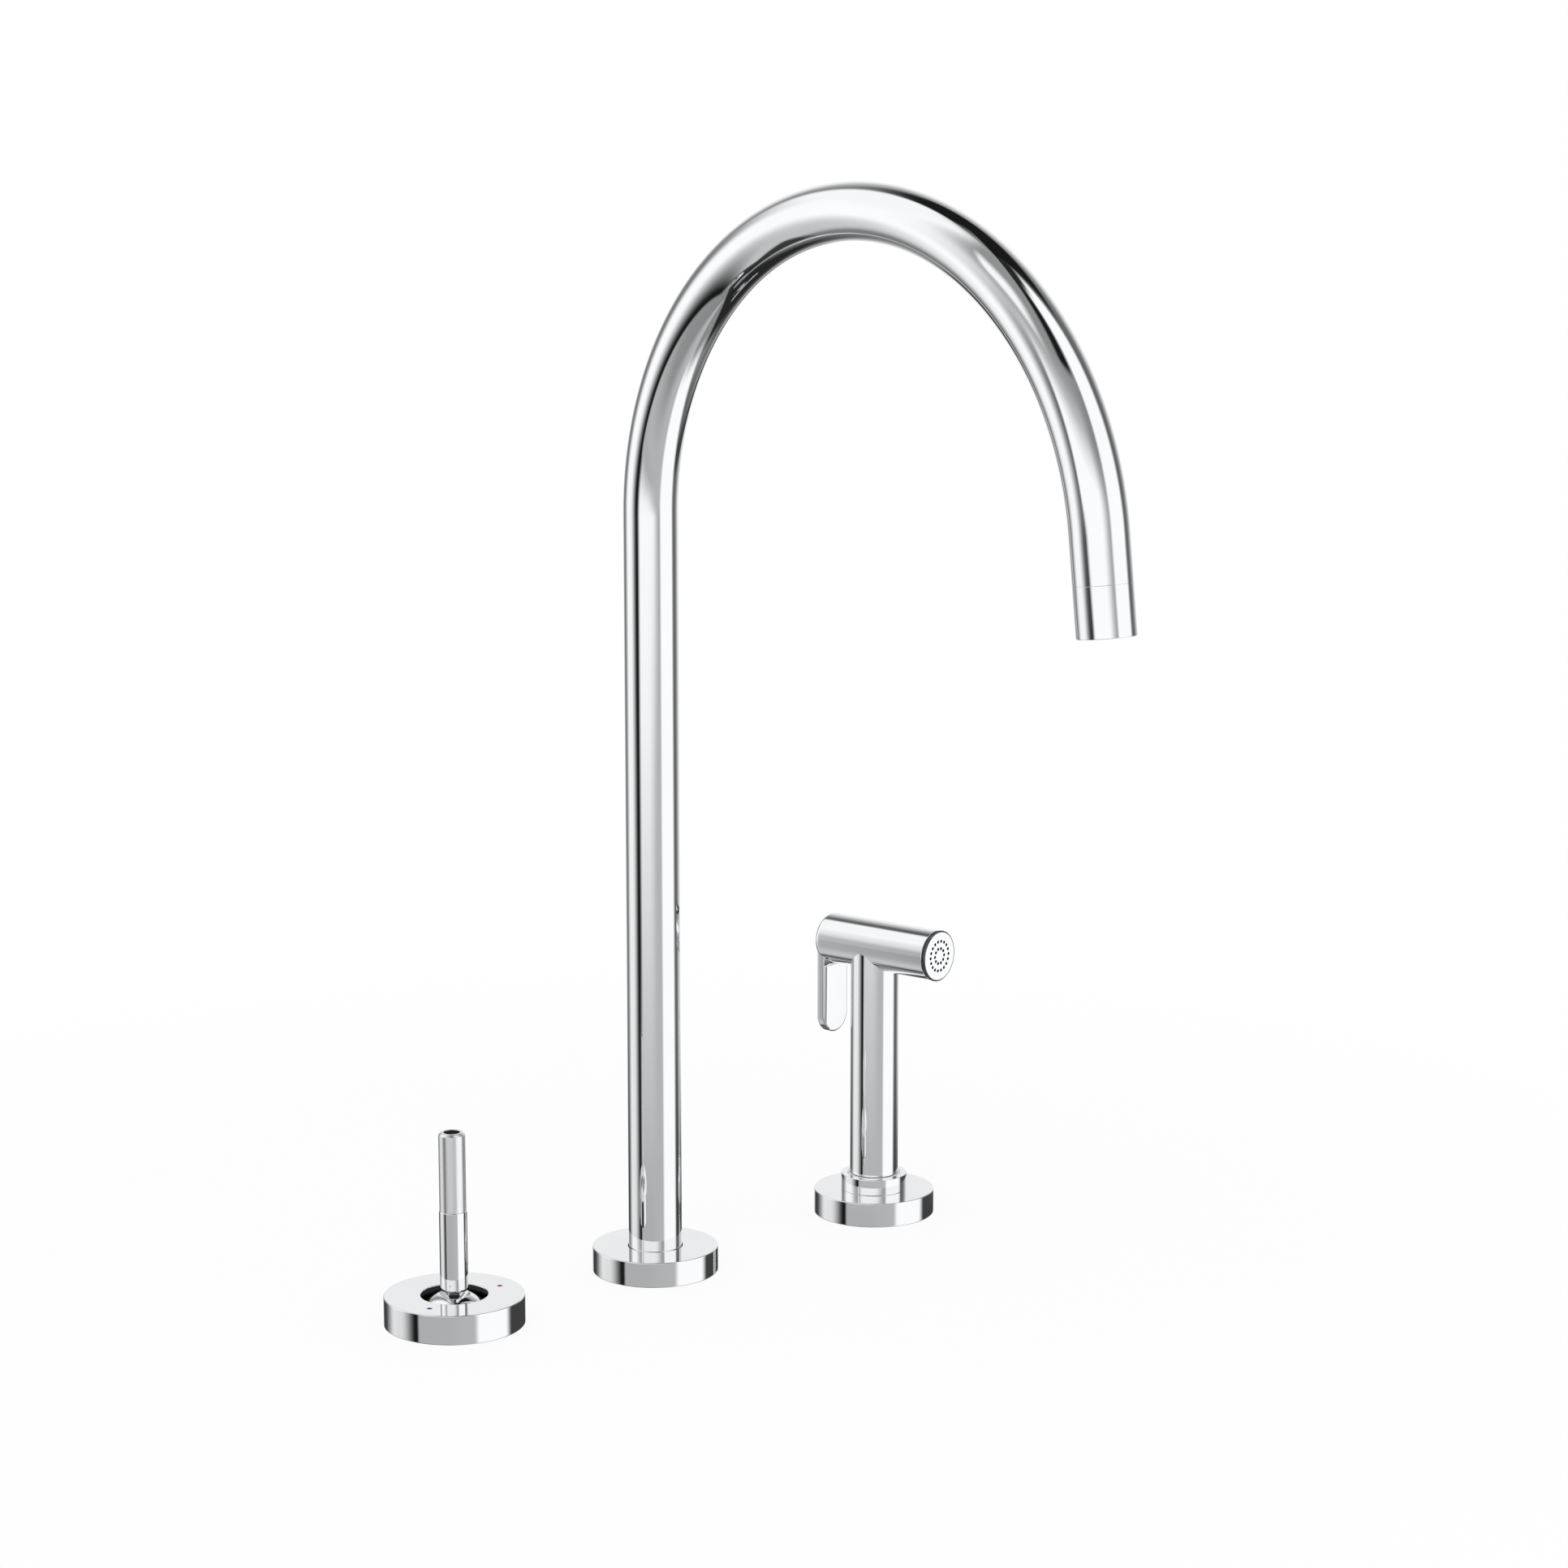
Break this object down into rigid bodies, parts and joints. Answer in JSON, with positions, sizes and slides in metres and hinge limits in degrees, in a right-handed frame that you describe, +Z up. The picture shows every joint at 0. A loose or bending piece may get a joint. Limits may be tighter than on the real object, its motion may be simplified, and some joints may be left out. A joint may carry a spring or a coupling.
{
  "type": "side spray kitchen faucet",
  "caption": "Kitchen faucet with a swivelling gooseneck spout, a joystick mixer valve and a lift-out side spray handset with a rear lever.",
  "frame": {"origin": "on the spout's axis at the top of the worktop", "axes": "+X from the mixer valve to the side spray, -Y where the spout points, towards the user, +Z up"},
  "size_m": [0.2845, 0.2924, 0.5609],
  "materials": {
    "chrome": "polished chrome plate",
    "satin": "satin chrome, brushed lengthwise",
    "brass": "turned brass",
    "steel": "bright steel",
    "rubber": "matt black rubber",
    "plastic": "dark grey moulded plastic",
    "bearing": "white acetal plastic",
    "ceramic": "lapped ceramic",
    "red": "gloss red enamel",
    "blue": "gloss blue enamel"
  },
  "bodies": {
    "deck_fittings": {"spout_flange": "chrome", "spout_gasket": "rubber", "spout_base": "brass", "thrust_washers": "bearing", "swivel_nut": "brass", "rubber_washers": "rubber", "steel_washers": "steel", "shank_nuts": "brass", "diverter_nipple": "brass", "diverter_body": "brass", "diverter_spring": "steel", "valve_flange": "chrome", "hot_marker": "red", "cold_marker": "blue", "valve_gasket": "rubber", "valve_body": "brass", "cartridge_housing": "plastic", "port_seals": "rubber", "cartridge_nut": "brass", "fixed_disc": "ceramic", "spray_flange": "chrome", "spray_gasket": "rubber", "holder_sleeve": "chrome", "holder_bush": "bearing", "spray_rubber_washer": "rubber", "spray_steel_washer": "steel", "spray_nut": "brass"},
    "spout": {"spout_tube": "chrome", "swivel_spigot": "brass", "spigot_seals": "rubber", "outlet_bush": "brass", "aerator_ring": "chrome", "aerator_washer": "rubber", "aerator_insert": "bearing"},
    "diverter_shuttle": {"diverter_piston": "bearing", "diverter_seal": "rubber"},
    "rotor": {"cartridge_rotor": "bearing", "tilt_pin": "steel"},
    "joystick": {"joystick_spindle": "steel", "dome_cap": "chrome", "stick_rod": "chrome", "stick_grip": "satin", "grip_screw": "steel"},
    "disc_slide": {"moving_disc": "ceramic", "disc_carrier": "plastic"},
    "hose_end": {"hose_connector": "brass"},
    "handset": {"handset_body": "chrome", "handset_inlet": "brass", "nozzle_body": "plastic", "spray_face": "chrome", "valve_seat": "brass", "rear_plug": "brass", "lever_pin": "steel"},
    "trigger": {"spray_lever": "chrome"},
    "shutoff_rod": {"pull_rod": "brass", "poppet_seal": "rubber", "rod_spring": "steel"}
  },
  "joints": [
    {"name": "spout_swivel", "type": "hinge", "parent": "deck_fittings", "child": "spout", "pos_m": [0, 0, 0], "axis": [0, 0, 1], "continuous": true},
    {"name": "diverter_shift", "type": "slide", "parent": "deck_fittings", "child": "diverter_shuttle", "axis": [0, 0, 1], "range_m": [0, 0.004], "deforming": ["diverter_spring"]},
    {"name": "stick_turn", "type": "hinge", "parent": "deck_fittings", "child": "rotor", "pos_m": [-0.1049, 0, 0], "axis": [0, 0, 1], "range_deg": [-45, 45]},
    {"name": "stick_tilt", "type": "hinge", "parent": "rotor", "child": "joystick", "pos_m": [-0.1049, 0, -0.004], "axis": [0.9936, 0.1132, 0], "range_deg": [0, 15]},
    {"name": "disc_shift", "type": "slide", "parent": "rotor", "child": "disc_slide", "axis": [-0.1132, 0.9936, 0], "range_m": [0, 0.00286]},
    {"name": "spray_lift", "type": "slide", "parent": "deck_fittings", "child": "hose_end", "axis": [0, 0, 1], "range_m": [0, 0.08]},
    {"name": "handset_turn", "type": "hinge", "parent": "hose_end", "child": "handset", "pos_m": [0.1251, 0, 0], "axis": [0, 0, 1], "continuous": true},
    {"name": "trigger_press", "type": "hinge", "parent": "handset", "child": "trigger", "pos_m": [0.12231, 0.01667, 0.1137], "axis": [-0.9863, -0.165, 0], "range_deg": [0, 7], "stiffness_Nm_per_rad": 1.2},
    {"name": "rod_pull", "type": "slide", "parent": "handset", "child": "shutoff_rod", "axis": [-0.165, 0.9863, 0], "range_m": [0, 0.00078]}
  ],
  "couplings": [
    {"joint": "disc_shift", "follows": "stick_tilt", "m_per_rad": 0.010875},
    {"joint": "rod_pull", "follows": "trigger_press", "m_per_rad": 0.006}
  ]
}
